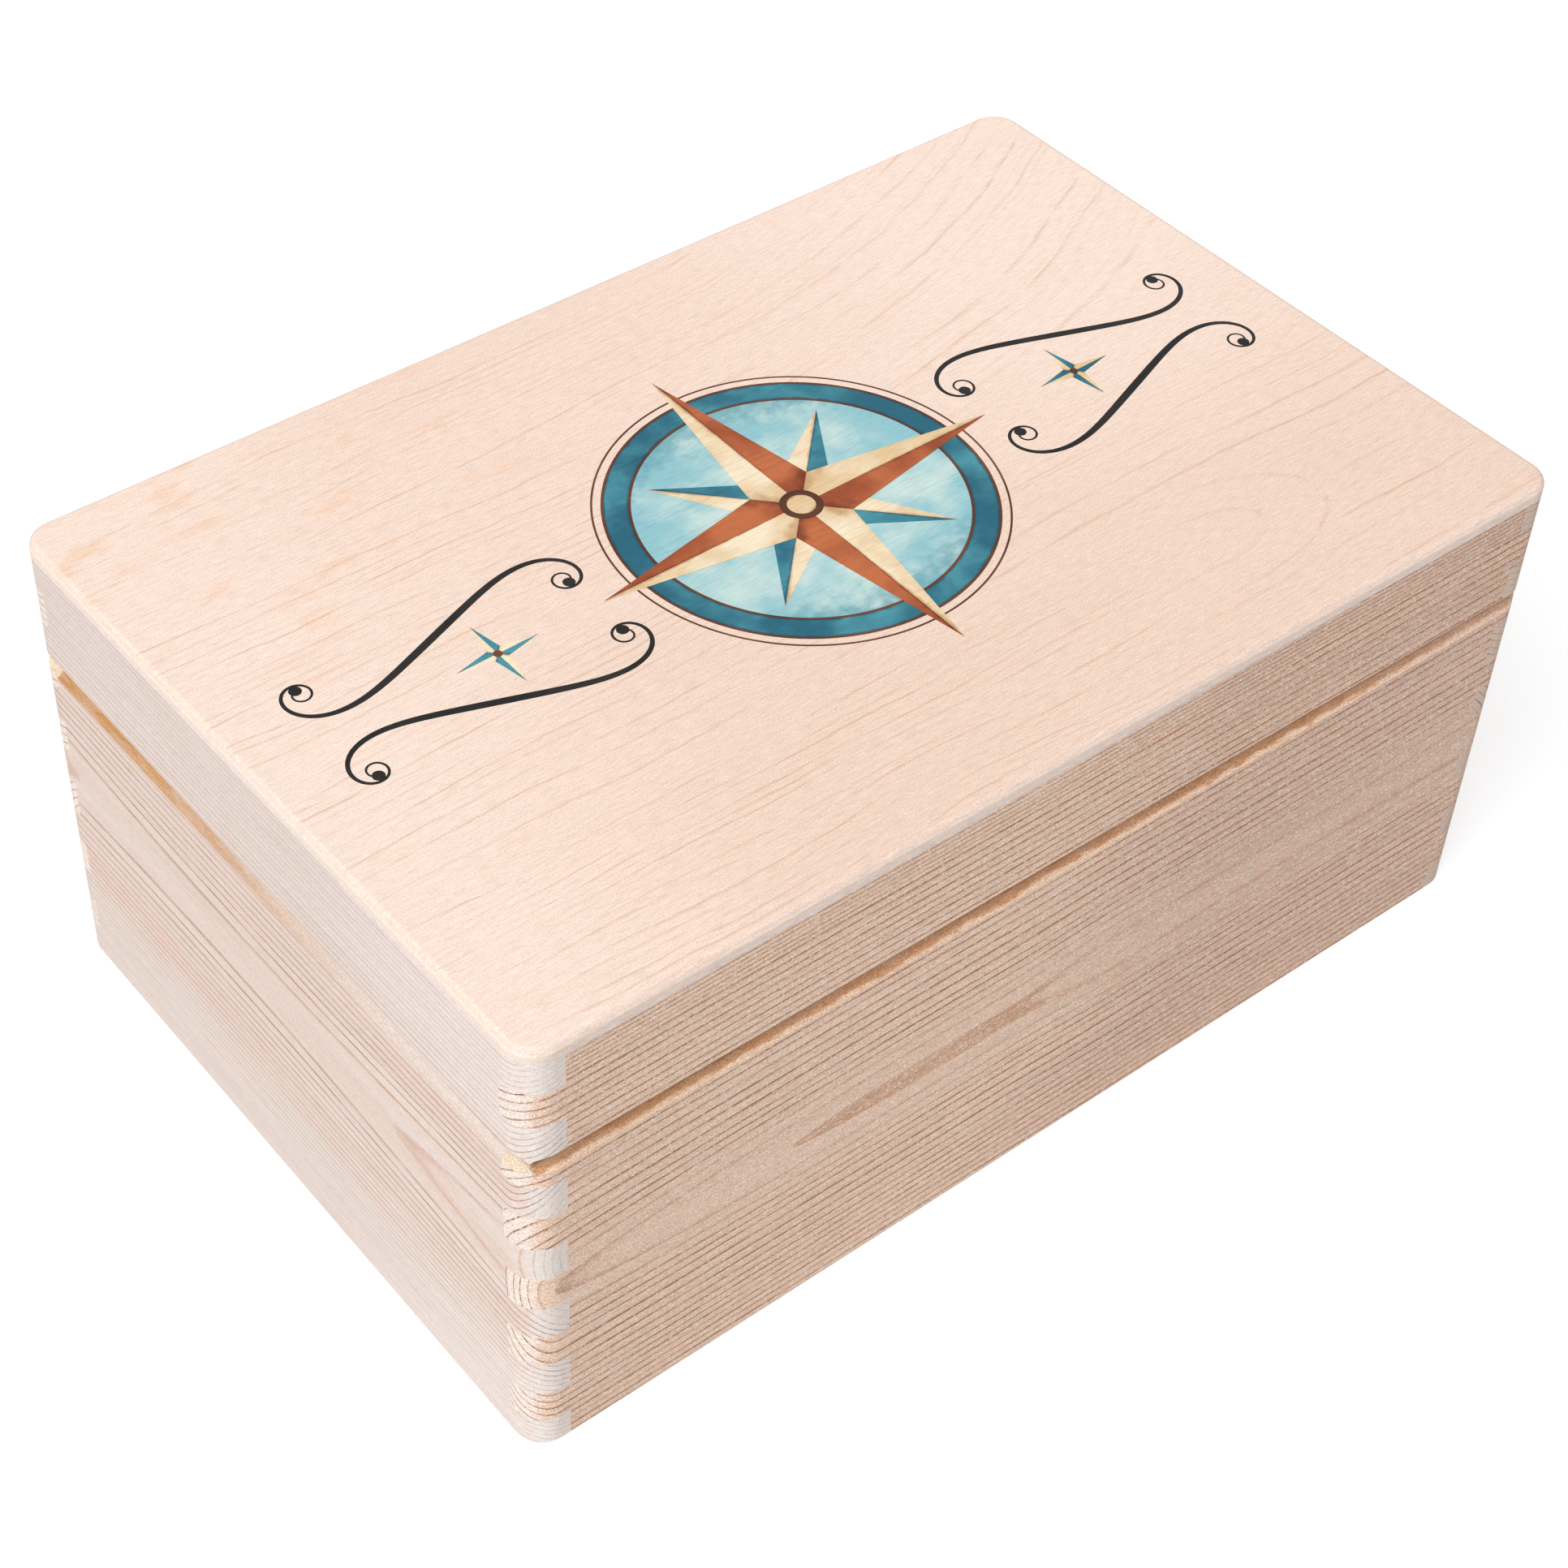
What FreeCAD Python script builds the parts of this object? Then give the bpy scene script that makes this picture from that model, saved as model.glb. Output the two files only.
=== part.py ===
import FreeCAD, Part
import os
from FreeCAD import Vector

# A keepsake box with a hinged lid. Pine boards are finger jointed into one closed box, which is
# sawn apart into a base and a lid, and a half-round finger groove follows the parting line.
# Millimetres. Origin at the middle of the footprint, +Z up, front towards -Y, hinges at +Y.

# The closed box.
box_length = 300.0
box_width = 197.5
box_height = 134.4
corner_radius = 7.5
parting_height = 98.9
arris = 0.35

# The boards and their finger joints.
front_board = 9.0
side_board = 10.0
finger_pitch = 10.4
first_finger = 8.9
saw_kerf = 1.6

# The panels.
top_panel = 4.0
top_edge_radius = 1.8
bottom_panel = 4.0
bottom_lift = 4.0
bottom_tongue = 4.5
tongue_play = 0.5
thickness_play = 0.2

# The finger groove along the parting line.
groove_radius = 2.75
groove_depth = 2.25

# The butt hinges, let into the back edges with their barrels inside the groove.
hinge_length = 30.0
hinge_from_end = 55.0
hinge_inset = 1.8
barrel_radius = 1.8
barrel_clearance = 0.4
knuckle_count = 3
knuckle_gap = 0.2
leaf_thickness = 0.8
leaf_reach = 6.0
leaf_play = 0.2
pin_radius = 0.9
pin_clearance = 0.05

# The countersunk hinge screws.
screw_spacing = 18.0
screw_offset = 4.2
screw_length = 8.0
screw_radius = 0.9
screw_head_radius = 1.6
screw_play = 0.05

# How far cutting shapes run past the faces they cut, and how near an edge counts as on a height.
cut_overrun = 6.0
hair = 0.001

half_length = box_length / 2
half_width = box_width / 2
lid_rail_top = box_height - top_panel
hinge_axis = half_width - hinge_inset
hinge_places = (hinge_from_end - half_length, half_length - hinge_from_end)
hinge_names = ("left", "right")


def block(x, y, z):
    """A box between the low and high value given for each axis."""
    size = [high - low for low, high in (x, y, z)]
    return Part.makeBox(*size, Vector(x[0], y[0], z[0]))


def rod(radius, start, direction, length):
    """A round bar from a start point along a direction."""
    return Part.makeCylinder(radius, length, start, direction)


def edges_at_height(shape, height):
    """The edges of a shape that lie wholly at one height."""
    return [edge for edge in shape.Edges if all(abs(v.Z - height) < hair for v in edge.Vertexes)]


def rounded_block(bottom, top):
    """The box's outline with its round corners, between two heights."""
    shape = block((-half_length, half_length), (-half_width, half_width), (bottom, top))
    upright = [edge for edge in shape.Edges if abs(edge.tangentAt(edge.FirstParameter).z) > hair]
    return shape.makeFillet(corner_radius, upright)


def finger_grooves():
    """The half-round cuts along the four sides, which run off where the corners round away."""
    outward = groove_radius - groove_depth
    along_x = box_length + 2 * cut_overrun
    along_y = box_width + 2 * cut_overrun
    cuts = []
    for side in (-1, 1):
        start = Vector(-along_x / 2, side * (half_width + outward), parting_height)
        cuts.append(rod(groove_radius, start, Vector(1, 0, 0), along_x))
        start = Vector(side * (half_length + outward), -along_y / 2, parting_height)
        cuts.append(rod(groove_radius, start, Vector(0, 1, 0), along_y))
    return cuts


def sanded_outline(bottom, top, eased_heights):
    """What the sander and the groove cutter leave: round corners, eased edges and the groove."""
    shape = rounded_block(bottom, top)
    for height in eased_heights:
        shape = shape.makeChamfer(arris, edges_at_height(shape, height))
    return shape.cut(finger_grooves())


def finger_bands(sawn_away):
    """Low and high edges of the finger bands from the bottom up, side boards' bands first."""
    edges = [-cut_overrun]
    edge = first_finger - sawn_away
    while edge < box_height + cut_overrun:
        edges.append(edge)
        edge += finger_pitch
    return list(zip(edges, edges[1:]))


def front_or_back_board(side, bottom, top, sawn_away):
    """A long board with slots at both ends for the fingers of the side boards."""
    outer = side * half_width
    inner = outer - side * front_board
    thickness = (min(outer, inner), max(outer, inner))
    shape = block((-half_length, half_length), thickness, (bottom, top))
    slots = []
    for band in finger_bands(sawn_away)[0::2]:
        slots.append(block((-half_length - cut_overrun, side_board - half_length), thickness, band))
        slots.append(block((half_length - side_board, half_length + cut_overrun), thickness, band))
    return shape.cut(slots)


def side_board_comb(side, bottom, top, sawn_away):
    """A short board with slots at both ends for the fingers of the front and back boards."""
    outer = side * half_length
    inner = outer - side * side_board
    thickness = (min(outer, inner), max(outer, inner))
    shape = block(thickness, (-half_width, half_width), (bottom, top))
    slots = []
    for band in finger_bands(sawn_away)[1::2]:
        slots.append(block(thickness, (-half_width - cut_overrun, front_board - half_width), band))
        slots.append(block(thickness, (half_width - front_board, half_width + cut_overrun), band))
    return shape.cut(slots)


def panel_half_sizes(play):
    """Half the length and width that the bottom panel reaches into the walls, less a play."""
    reach = bottom_tongue - play
    return half_length - side_board + reach, half_width - front_board + reach


def bottom_groove():
    """The groove that holds the bottom panel, as one block to cut from all four walls."""
    x, y = panel_half_sizes(0)
    return block((-x, x), (-y, y), (bottom_lift, bottom_lift + bottom_panel + thickness_play))


def bottom_panel_board():
    """The bottom panel, loose in its groove so that it can swell."""
    x, y = panel_half_sizes(tongue_play)
    return block((-x, x), (-y, y), (bottom_lift, bottom_lift + bottom_panel))


def lid_top_panel():
    """The top panel, glued on the rails and rounded over along its top edge."""
    shape = rounded_block(lid_rail_top, box_height)
    return shape.makeFillet(top_edge_radius, edges_at_height(shape, box_height))


def screw_places(hinge_x):
    """The screws' places in plan on one hinge."""
    y = hinge_axis - screw_offset
    return [Vector(hinge_x + side * screw_spacing / 2, y, parting_height) for side in (-1, 1)]


def screw(place, into):
    """A screw just below the leaf's face: a countersunk head on a straight shank."""
    axis = Vector(0, 0, into)
    head_height = screw_head_radius - screw_radius
    seat = place + axis * leaf_thickness
    head = Part.makeCone(screw_head_radius, screw_radius, head_height, seat - axis * head_height, axis)
    return head.fuse(rod(screw_radius, seat, axis, screw_length - leaf_thickness))


def screw_group(hinge_x, into):
    """The screws of one leaf, as separate solids in one group."""
    return Part.makeCompound([screw(place, into) for place in screw_places(hinge_x)])


def countersinks(hinge_x, into):
    """The countersunk holes through one leaf, each as wide as a screw's shank at the leaf's back."""
    axis = Vector(0, 0, into)
    back = screw_radius + screw_play
    mouth = back + leaf_thickness
    return [Part.makeCone(mouth, back, leaf_thickness, place, axis) for place in screw_places(hinge_x)]


def pilot_holes(hinge_x, into):
    """The holes in the wood for the screws of one leaf."""
    axis = Vector(0, 0, into)
    depth = screw_length - leaf_thickness + screw_play
    seats = [place + axis * leaf_thickness for place in screw_places(hinge_x)]
    return [rod(screw_radius + screw_play, seat, axis, depth) for seat in seats]


def hinge_recess(hinge_x, into):
    """The mortise for one leaf, the hollow for the barrel and the pilot holes in a back board."""
    half = hinge_length / 2
    x = (hinge_x - half - leaf_play, hinge_x + half + leaf_play)
    z = sorted((parting_height, parting_height + into * leaf_thickness))
    mortise = block(x, (hinge_axis - leaf_reach - leaf_play, hinge_axis), z)
    start = Vector(x[0], hinge_axis, parting_height)
    barrel = rod(barrel_radius + barrel_clearance, start, Vector(1, 0, 0), x[1] - x[0])
    return [mortise, barrel] + pilot_holes(hinge_x, into)


def hinge_leaf(hinge_x, into, first_knuckle):
    """A leaf with every second knuckle of the barrel rolled from it, bored for the pin."""
    half = hinge_length / 2
    x = (hinge_x - half, hinge_x + half)
    z = sorted((parting_height, parting_height + into * leaf_thickness))
    plate = block(x, (hinge_axis - leaf_reach, hinge_axis), z)
    start = Vector(x[0], hinge_axis, parting_height)
    barrel = rod(barrel_radius, start, Vector(1, 0, 0), hinge_length)
    cuts = [rod(pin_radius + pin_clearance, start, Vector(1, 0, 0), hinge_length)]
    knuckle = hinge_length / knuckle_count
    back_off = barrel_radius + barrel_clearance
    for index in range(1 - first_knuckle, knuckle_count, 2):
        low = x[0] + index * knuckle - knuckle_gap / 2
        gap_y = (hinge_axis - back_off, hinge_axis + back_off)
        gap_z = (parting_height - back_off, parting_height + back_off)
        cuts.append(block((low, low + knuckle + knuckle_gap), gap_y, gap_z))
    return plate.fuse(barrel).cut(cuts + countersinks(hinge_x, into)).removeSplitter()


def hinge_pin(hinge_x):
    """The hinge pin, as long as the barrel."""
    start = Vector(hinge_x - hinge_length / 2, hinge_axis, parting_height)
    return rod(pin_radius, start, Vector(1, 0, 0), hinge_length)


def hinge_recesses(into):
    """The recesses of both hinges in one back board."""
    return [cut for x in hinge_places for cut in hinge_recess(x, into)]


def base_pieces():
    """The four walls of the base and the bottom panel that they hold."""
    outline = sanded_outline(0, parting_height, (0, parting_height))
    span = (0, parting_height, 0)
    boards = {
        "base_front_wall": front_or_back_board(-1, *span),
        "base_back_wall": front_or_back_board(1, *span).cut(hinge_recesses(-1)),
        "base_left_wall": side_board_comb(-1, *span),
        "base_right_wall": side_board_comb(1, *span),
    }
    pieces = {name: board.common(outline).cut(bottom_groove()) for name, board in boards.items()}
    pieces["bottom_panel"] = bottom_panel_board()
    return pieces


def lid_pieces():
    """The four rails of the lid and the panel that closes it."""
    outline = sanded_outline(parting_height, lid_rail_top, (parting_height,))
    span = (parting_height, lid_rail_top, saw_kerf)
    boards = {
        "lid_front_rail": front_or_back_board(-1, *span),
        "lid_back_rail": front_or_back_board(1, *span).cut(hinge_recesses(1)),
        "lid_left_rail": side_board_comb(-1, *span),
        "lid_right_rail": side_board_comb(1, *span),
    }
    pieces = {name: board.common(outline) for name, board in boards.items()}
    pieces["lid_top_panel"] = lid_top_panel()
    return pieces


def hinge_pieces():
    """Both hinges with their pins and screws."""
    pieces = {}
    for name, x in zip(hinge_names, hinge_places):
        pieces[f"{name}_hinge_base_leaf"] = hinge_leaf(x, -1, 0)
        pieces[f"{name}_hinge_lid_leaf"] = hinge_leaf(x, 1, 1)
        pieces[f"{name}_hinge_pin"] = hinge_pin(x)
        pieces[f"{name}_hinge_base_screws"] = screw_group(x, -1)
        pieces[f"{name}_hinge_lid_screws"] = screw_group(x, 1)
    return pieces


os.makedirs("parts", exist_ok=True)
for node, solid in {**base_pieces(), **lid_pieces(), **hinge_pieces()}.items():
    solid.exportStep(f"parts/{node}.step")
    print(node, len(solid.Solids), round(solid.Volume), solid.isValid())
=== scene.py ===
from math import cos, pi, radians, sin

import bpy
import numpy as np
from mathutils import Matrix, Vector


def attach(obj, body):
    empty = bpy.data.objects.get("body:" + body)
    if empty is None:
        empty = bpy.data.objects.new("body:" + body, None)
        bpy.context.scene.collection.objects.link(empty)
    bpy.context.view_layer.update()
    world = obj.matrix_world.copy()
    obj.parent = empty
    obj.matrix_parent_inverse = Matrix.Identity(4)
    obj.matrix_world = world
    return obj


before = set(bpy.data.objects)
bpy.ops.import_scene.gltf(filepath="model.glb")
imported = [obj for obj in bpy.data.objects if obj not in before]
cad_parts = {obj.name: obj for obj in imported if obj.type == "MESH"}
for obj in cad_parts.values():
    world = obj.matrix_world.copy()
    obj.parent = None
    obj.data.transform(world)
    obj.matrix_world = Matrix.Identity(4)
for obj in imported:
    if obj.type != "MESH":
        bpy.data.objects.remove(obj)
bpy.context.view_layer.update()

# The front of the box: one pine board, finger jointed to the side boards, glued, rounded and sanded,
# then sawn apart into a base wall and a lid rail. Its heart side faces out, so the year rings stand
# upright in the middle of its height, where they open in long tongues, and lie flatter above and below.

mm_per_metre = 1000.0
box_length, box_width = 300.0, 197.5
parting_height, saw_kerf = 98.9, 1.6
groove_radius, groove_depth = 2.75, 2.25
origin = (0.0, 0.0, 0.0)


def node(tree, kind, sockets, **settings):
    """A new shader node with its settings, each socket filled by a value or by another node's output."""
    made = tree.nodes.new("ShaderNode" + kind)
    for key, value in settings.items():
        setattr(made, key, value)
    for key, value in sockets.items():
        if isinstance(value, bpy.types.NodeSocket):
            tree.links.new(value, made.inputs[key])
        else:
            made.inputs[key].default_value = value
    return made


def calc(tree, operation, *values):
    """The output of a math node."""
    return node(tree, "Math", dict(enumerate(values)), operation=operation).outputs[0]


def product(tree, *values):
    """Several values multiplied together."""
    total = values[0]
    for value in values[1:]:
        total = calc(tree, "MULTIPLY", total, value)
    return total


def distance(tree, first, second):
    """The straight distance that two offsets at right angles make."""
    square = calc(tree, "MULTIPLY_ADD", first, first, calc(tree, "MULTIPLY", second, second))
    return calc(tree, "SQRT", square)


def between(tree, share, low, high):
    """A value that goes straight from low to high as the share goes from 0 to 1."""
    return calc(tree, "MULTIPLY_ADD", share, high - low, low)


def ramp(tree, value, low, high, to_low=0.0, to_high=1.0, shape="SMOOTHSTEP"):
    """A step of a value between two limits, smooth unless its shape is LINEAR."""
    sockets = {0: value, 1: low, 2: high, 3: to_low, 4: to_high}
    return node(tree, "MapRange", sockets, interpolation_type=shape).outputs[0]


def noise(tree, position, cell, detail, seed=origin):
    """Cloudy noise about 0, whose cells have the given millimetres along each axis."""
    sockets = {0: position, 1: tuple(1 / length for length in cell), 2: seed}
    scaled = node(tree, "VectorMath", sockets, operation="MULTIPLY_ADD").outputs[0]
    cloud = node(tree, "TexNoise", {"Vector": scaled, "Scale": 1.0, "Detail": detail})
    return calc(tree, "SUBTRACT", cloud.outputs["Fac"], 0.5)


def chance(tree, number):
    """A random share from 0 to 1 that stays the same for each whole number."""
    return node(tree, "TexWhiteNoise", {"W": number}, noise_dimensions="1D").outputs["Value"]


def seed_vector(tree, seed):
    """One number on all three axes, which moves a noise to another place."""
    return node(tree, "CombineXYZ", {0: seed, 1: seed, 2: seed}).outputs[0]


def mix(tree, share, first, second):
    """The first colour turning into the second as the share rises from 0 to 1."""
    return node(tree, "Mix", {0: share, 6: first, 7: second}, data_type="RGBA").outputs[2]


def glaze(tree, under, over, *shares):
    """One colour laid over another, as strong as the product of the shares."""
    return mix(tree, product(tree, *shares), under, over)


def shade(tree, colour, bright):
    """A colour made lighter or darker by a factor about 1."""
    return node(tree, "VectorMath", {0: colour, 1: bright}, operation="MULTIPLY").outputs[0]


def tone(red, green, blue):
    """A colour given as 0 to 255 display values, as the linear values that a shader takes."""
    knee, foot, lift, power = 0.04045, 12.92, 0.055, 2.4
    shares = np.array([red, green, blue]) / 255
    return (*np.where(shares <= knee, shares / foot, ((shares + lift) / (1 + lift)) ** power), 1.0)


def group(name, inputs, outputs):
    """An empty shader node group with float or vector inputs that start at the values given, and outputs."""
    made = bpy.data.node_groups.new(name, "ShaderNodeTree")
    for key, value in inputs.items():
        kind = "NodeSocketFloat" if isinstance(value, float) else "NodeSocketVector"
        made.interface.new_socket(key, in_out="INPUT", socket_type=kind).default_value = value
    for key in outputs:
        made.interface.new_socket(key, in_out="OUTPUT", socket_type="NodeSocketFloat")
    return made, made.nodes.new("NodeGroupInput").outputs, made.nodes.new("NodeGroupOutput").inputs


def pith_distance():
    """Distance from the tree's pith, and the height above or below it, at a position in millimetres along,
    through and up the board. The pith leans, bows, twists and climbs along the board, with one small jog near
    the middle. Slow noise makes the rings wander, and calm stills it near the height of the pith."""
    jog_start, jog_end = -15.0, 22.0
    still_height, free_height = 4.0, 14.0
    inputs = {"Position": origin, "Pith Depth": 0.0, "Pith Height": 0.0, "Lean": 0.0, "Bow": 0.0,
              "Twist": 0.0, "Climb": 0.0, "Jog": 0.0, "Wander": 0.5, "Calm": 0.0, "Seed": 0.0}
    tree, given, wanted = group("pith_distance", inputs, ("Radius", "Above"))
    along, through, up = node(tree, "SeparateXYZ", {0: given["Position"]}).outputs
    slope = calc(tree, "MULTIPLY_ADD", along, given["Twist"], given["Bow"])
    slope = calc(tree, "MULTIPLY_ADD", along, slope, given["Lean"])
    depth = calc(tree, "MULTIPLY_ADD", along, slope, given["Pith Depth"])
    depth = calc(tree, "MULTIPLY_ADD", ramp(tree, along, jog_start, jog_end), given["Jog"], depth)
    height = calc(tree, "MULTIPLY_ADD", along, given["Climb"], given["Pith Height"])
    across = calc(tree, "SUBTRACT", through, depth)
    above = calc(tree, "ABSOLUTE", calc(tree, "SUBTRACT", up, height))
    still = ramp(tree, above, still_height, free_height, -1.0, 0.0)
    slow = noise(tree, given["Position"], (60.0, 14.0, 14.0), 3.0, seed_vector(tree, given["Seed"]))
    slow = calc(tree, "MULTIPLY", slow, calc(tree, "MULTIPLY_ADD", still, given["Calm"], 1.0))
    radius = calc(tree, "MULTIPLY_ADD", slow, given["Wander"], distance(tree, above, across))
    tree.links.new(radius, wanted["Radius"])
    tree.links.new(above, wanted["Above"])
    return tree


def ring_marks():
    """What a year leaves in the wood: late wood that darkens towards the ring's edge, a thin line at that
    edge, and how strong that year is. Years counts the rings outwards from the pith."""
    late_full, line_start, line_full, edge_start = 0.92, 0.76, 0.9, 0.95
    inputs = {"Years": 0.0, "Late Start": 0.5, "Seed": 0.0}
    tree, given, wanted = group("ring_marks", inputs, ("Late", "Line", "Strength"))
    phase = calc(tree, "FRACT", given["Years"])
    edge = ramp(tree, phase, edge_start, 1.0, 1.0, 0.0)
    late = calc(tree, "MULTIPLY", ramp(tree, phase, given["Late Start"], late_full), edge)
    line = calc(tree, "MULTIPLY", ramp(tree, phase, line_start, line_full), edge)
    year = calc(tree, "ADD", calc(tree, "FLOOR", given["Years"]), given["Seed"])
    for key, mark in (("Late", late), ("Line", line), ("Strength", chance(tree, year))):
        tree.links.new(mark, wanted[key])
    return tree


def fibres():
    """Fine marks along the grain, each one a noise stretched along the board: slow clouds, long streaks, short
    fibres, sanding grit, thin dark threads between the rings, specks of raised fibre that are painted bright,
    partly as the glint they catch, breaks in the ring lines and dots in the end grain. Each kind has its cell
    in millimetres, its detail and the limits of its step."""
    kinds = {"Cloud": ((120.0, 9.0, 9.0), 2.0, (-0.15, 0.2)), "Streak": ((70.0, 1.4, 1.4), 3.0, None),
             "Fibre": ((1.6, 0.45, 0.45), 2.0, None), "Grit": ((0.4, 0.3, 0.3), 0.0, None),
             "Thread": ((30.0, 0.7, 0.7), 2.0, (0.07, 0.2)), "Glinting_Speck": ((0.8, 0.5, 0.5), 1.0, (0.02, 0.2)),
             "Break": ((14.0, 1.2, 1.2), 3.0, (-0.15, 0.1)), "Dot": ((1.4, 1.4, 1.4), 1.0, (-0.1, 0.12))}
    tree, given, wanted = group("fibres", {"Position": origin, "Seed": 0.0}, kinds)
    seed = seed_vector(tree, given["Seed"])
    for kind, (cell, detail, limits) in kinds.items():
        mark = noise(tree, given["Position"], cell, detail, seed)
        tree.links.new(ramp(tree, mark, *limits) if limits else mark, wanted[kind])
    return tree


def groove_mask():
    """How far a point lies inside the half-round finger groove, whose axis runs just outside each face."""
    rim_start, rim_end = groove_radius + 0.01, groove_radius + 0.15
    outside = groove_radius - groove_depth
    tree, given, wanted = group("groove_mask", {"Position": origin}, ("Inside",))
    reach = node(tree, "VectorMath", {0: given["Position"]}, operation="ABSOLUTE").outputs[0]
    place = node(tree, "SeparateXYZ", {0: reach}).outputs
    above = calc(tree, "SUBTRACT", place[2], parting_height)
    near = []
    for axis, face in ((0, box_length / 2), (1, box_width / 2)):
        near.append(distance(tree, above, calc(tree, "SUBTRACT", place[axis], face + outside)))
    nearest = calc(tree, "MINIMUM", *near)
    tree.links.new(ramp(tree, nearest, rim_start, rim_end, 1.0, 0.0), wanted["Inside"])
    return tree


pith_group, mark_group, fibre_group, groove_group = pith_distance(), ring_marks(), fibres(), groove_mask()


def new_material(name):
    """A new material, its node tree and the shader in it."""
    material = bpy.data.materials.new(name)
    material.use_nodes = True
    return material, material.node_tree, material.node_tree.nodes["Principled BSDF"]


def in_millimetres(tree, place):
    """A place in metres, as millimetres."""
    return node(tree, "VectorMath", {0: place, 3: mm_per_metre}, operation="SCALE").outputs[0]


def raise_marks(tree, shader, marks, strength, depth):
    """Lets marks stand out of a surface, by a depth in millimetres."""
    relief = node(tree, "Bump", {"Strength": strength, "Distance": depth / mm_per_metre, "Height": marks})
    tree.links.new(relief.outputs["Normal"], shader.inputs["Normal"])


def follow(tree, radius, pairs):
    """A value at a distance from the pith, along straight lines between (distance, value) pairs."""
    total = pairs[0][1]
    for (low, first), (high, last) in zip(pairs, pairs[1:]):
        total = calc(tree, "ADD", total, ramp(tree, radius, low, high, 0.0, last - first, "LINEAR"))
    return total


def groove_stain_and_shade(tree, board, along, height, along_y, shares, tones):
    """The groove's colour, partly real staining and partly painted light, in three tones from its lower rim up
    to
    the saw cut, with ragged borders: pale at the rim, painted as lit where it faces up; an orange middle,
    partly router burn and partly painted light bounced about the groove; and painted shade in its deep part up
    by the cut. It is patchy, lies along part of the board and fades at the board's right end. Height is counted
    from the cut."""
    low_border, high_border, ragged_by = (-2.58, -2.15), (-1.1, -0.3), 1.6
    fade_start, fade_end = 75.0, 135.0
    patch_step = (-0.2, 0.1, 0.7, 1.0)
    ragged = calc(tree, "MULTIPLY_ADD", noise(tree, board, (6.0, 1.5, 1.5), 3.0), ragged_by, height)
    # Painted shade and light: the tones darken from the lower rim, which faces up into the light, to the deep
    # part by the cut, which lies in shade.
    stain_and_shade = mix(tree, ramp(tree, ragged, *low_border), tones["groove_lit_low"], tones["groove_middle"])
    stain_and_shade = mix(tree, ramp(tree, ragged, *high_border), stain_and_shade, tones["groove_shaded_high"])
    stain_and_shade = mix(tree, ramp(tree, along, fade_start, fade_end, 0.0, shares["fade"]), stain_and_shade, tones["drift"])
    span = along if along_y else calc(tree, "ABSOLUTE", along)
    patchy = ramp(tree, noise(tree, board, (7.0, 1.5, 1.5), 3.0), *patch_step)
    return glaze(tree, tones["groove_plain"], stain_and_shade, patchy, ramp(tree, span, *shares["stain_and_shade"]))


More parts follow.
